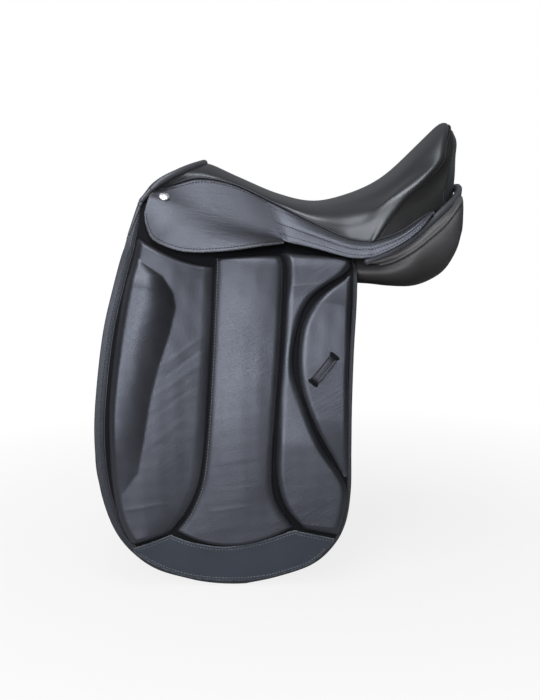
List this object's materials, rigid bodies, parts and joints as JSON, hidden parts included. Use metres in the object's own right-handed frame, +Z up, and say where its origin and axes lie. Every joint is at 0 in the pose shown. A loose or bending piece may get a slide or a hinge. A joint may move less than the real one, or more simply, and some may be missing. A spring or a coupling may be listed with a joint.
{
  "type": "dressage saddle",
  "caption": "Black leather dressage saddle with long straight flaps, raised knee blocks, deep seat, lifting skirts and flaps, stirrup bars and girth billets.",
  "frame": {"origin": "on the centre plane, at the height of the panels' underside, below the middle of the seat", "axes": "+X to the rear (cantle), -Y to the near (left) side, +Z up"},
  "size_m": [0.5203, 0.4528, 0.6182],
  "materials": {
    "black_leather": "smooth semi-gloss",
    "pad_leather": "soft grained semi-gloss over foam",
    "panel_leather": "soft semi-gloss",
    "billet_leather": "waxed",
    "tree_laminate": "varnished laminate",
    "steel": "bright",
    "webbing": "woven",
    "foam": "open cell",
    "chrome": "polished"
  },
  "bodies": {
    "saddle": {"tree_head": "tree_laminate", "tree_rails": "tree_laminate", "tree_cantle": "tree_laminate", "gullet_plate": "steel", "gullet_rivets": "steel", "tree_spring_left": "steel", "tree_spring_right": "steel", "stirrup_bar_left": "steel", "stirrup_bar_right": "steel", "bar_rivets": "steel", "catch_pin_left": "steel", "catch_pin_right": "steel", "seat_webs": "webbing", "seat_foam": "foam", "seat_cover": "black_leather", "cantle_facing_left": "black_leather", "cantle_facing_right": "black_leather", "cantle_back": "black_leather", "pommel_roll": "black_leather", "pommel_facing": "black_leather", "cantle_roll": "black_leather", "skirt_band_left": "black_leather", "skirt_band_right": "black_leather", "skirt_stud_left": "chrome", "skirt_stud_right": "chrome", "flap_top_left": "black_leather", "flap_top_right": "black_leather", "billet_web_left": "webbing", "billet_web_right": "webbing", "panel_left": "panel_leather", "panel_right": "panel_leather", "panel_piping_left": "panel_leather", "panel_piping_right": "panel_leather", "sweat_flap_left": "panel_leather", "sweat_flap_right": "panel_leather"},
    "flap_left": {"flap_left": "black_leather", "knee_pad_left": "pad_leather", "centre_pad_left": "pad_leather", "thigh_pad_left": "pad_leather", "rear_block_left": "pad_leather", "wear_patch_left": "black_leather", "keeper_left": "black_leather"},
    "skirt_left": {"skirt_left": "black_leather"},
    "catch_left": {"bar_catch_left": "steel"},
    "billet_front_left": {"billet_front_left": "billet_leather"},
    "billet_rear_left": {"billet_rear_left": "billet_leather"},
    "flap_right": {"flap_right": "black_leather", "knee_pad_right": "pad_leather", "centre_pad_right": "pad_leather", "thigh_pad_right": "pad_leather", "rear_block_right": "pad_leather", "wear_patch_right": "black_leather", "keeper_right": "black_leather"},
    "skirt_right": {"skirt_right": "black_leather"},
    "catch_right": {"bar_catch_right": "steel"},
    "billet_front_right": {"billet_front_right": "billet_leather"},
    "billet_rear_right": {"billet_rear_right": "billet_leather"}
  },
  "joints": [
    {"name": "flap_left_lift", "type": "hinge", "parent": "saddle", "child": "flap_left", "pos_m": [-0.08946, -0.14543, 0.05516], "axis": [-0.9964, 0, 0.0847], "range_deg": [0, 50]},
    {"name": "skirt_left_lift", "type": "hinge", "parent": "saddle", "child": "skirt_left", "pos_m": [-0.1265, -0.112, 0.104], "axis": [-0.9462, 0.1331, 0.2948], "range_deg": [0, 75]},
    {"name": "catch_left_turn", "type": "hinge", "parent": "saddle", "child": "catch_left", "pos_m": [-0.07394, -0.10811, 0.08787], "axis": [0.1502, -0.5878, 0.795], "range_deg": [0, 60]},
    {"name": "billet_front_left_swing", "type": "hinge", "parent": "saddle", "child": "billet_front_left", "pos_m": [-0.10902, -0.13967, 0.03755], "axis": [0.0336, -0.9178, 0.3956], "range_deg": [-4, 4]},
    {"name": "billet_rear_left_swing", "type": "hinge", "parent": "saddle", "child": "billet_rear_left", "pos_m": [-0.05721, -0.13967, 0.03314], "axis": [0.0336, -0.9178, 0.3956], "range_deg": [-4, 4]},
    {"name": "flap_right_lift", "type": "hinge", "parent": "saddle", "child": "flap_right", "pos_m": [-0.08946, 0.14543, 0.05516], "axis": [0.9964, 0, -0.0847], "range_deg": [0, 50]},
    {"name": "skirt_right_lift", "type": "hinge", "parent": "saddle", "child": "skirt_right", "pos_m": [-0.1265, 0.112, 0.104], "axis": [0.9462, 0.1331, -0.2948], "range_deg": [0, 75]},
    {"name": "catch_right_turn", "type": "hinge", "parent": "saddle", "child": "catch_right", "pos_m": [-0.07394, 0.10811, 0.08787], "axis": [-0.1502, -0.5878, -0.795], "range_deg": [0, 60]},
    {"name": "billet_front_right_swing", "type": "hinge", "parent": "saddle", "child": "billet_front_right", "pos_m": [-0.10902, 0.13967, 0.03755], "axis": [-0.0336, -0.9178, -0.3956], "range_deg": [-4, 4]},
    {"name": "billet_rear_right_swing", "type": "hinge", "parent": "saddle", "child": "billet_rear_right", "pos_m": [-0.05721, 0.13967, 0.03314], "axis": [-0.0336, -0.9178, -0.3956], "range_deg": [-4, 4]}
  ]
}
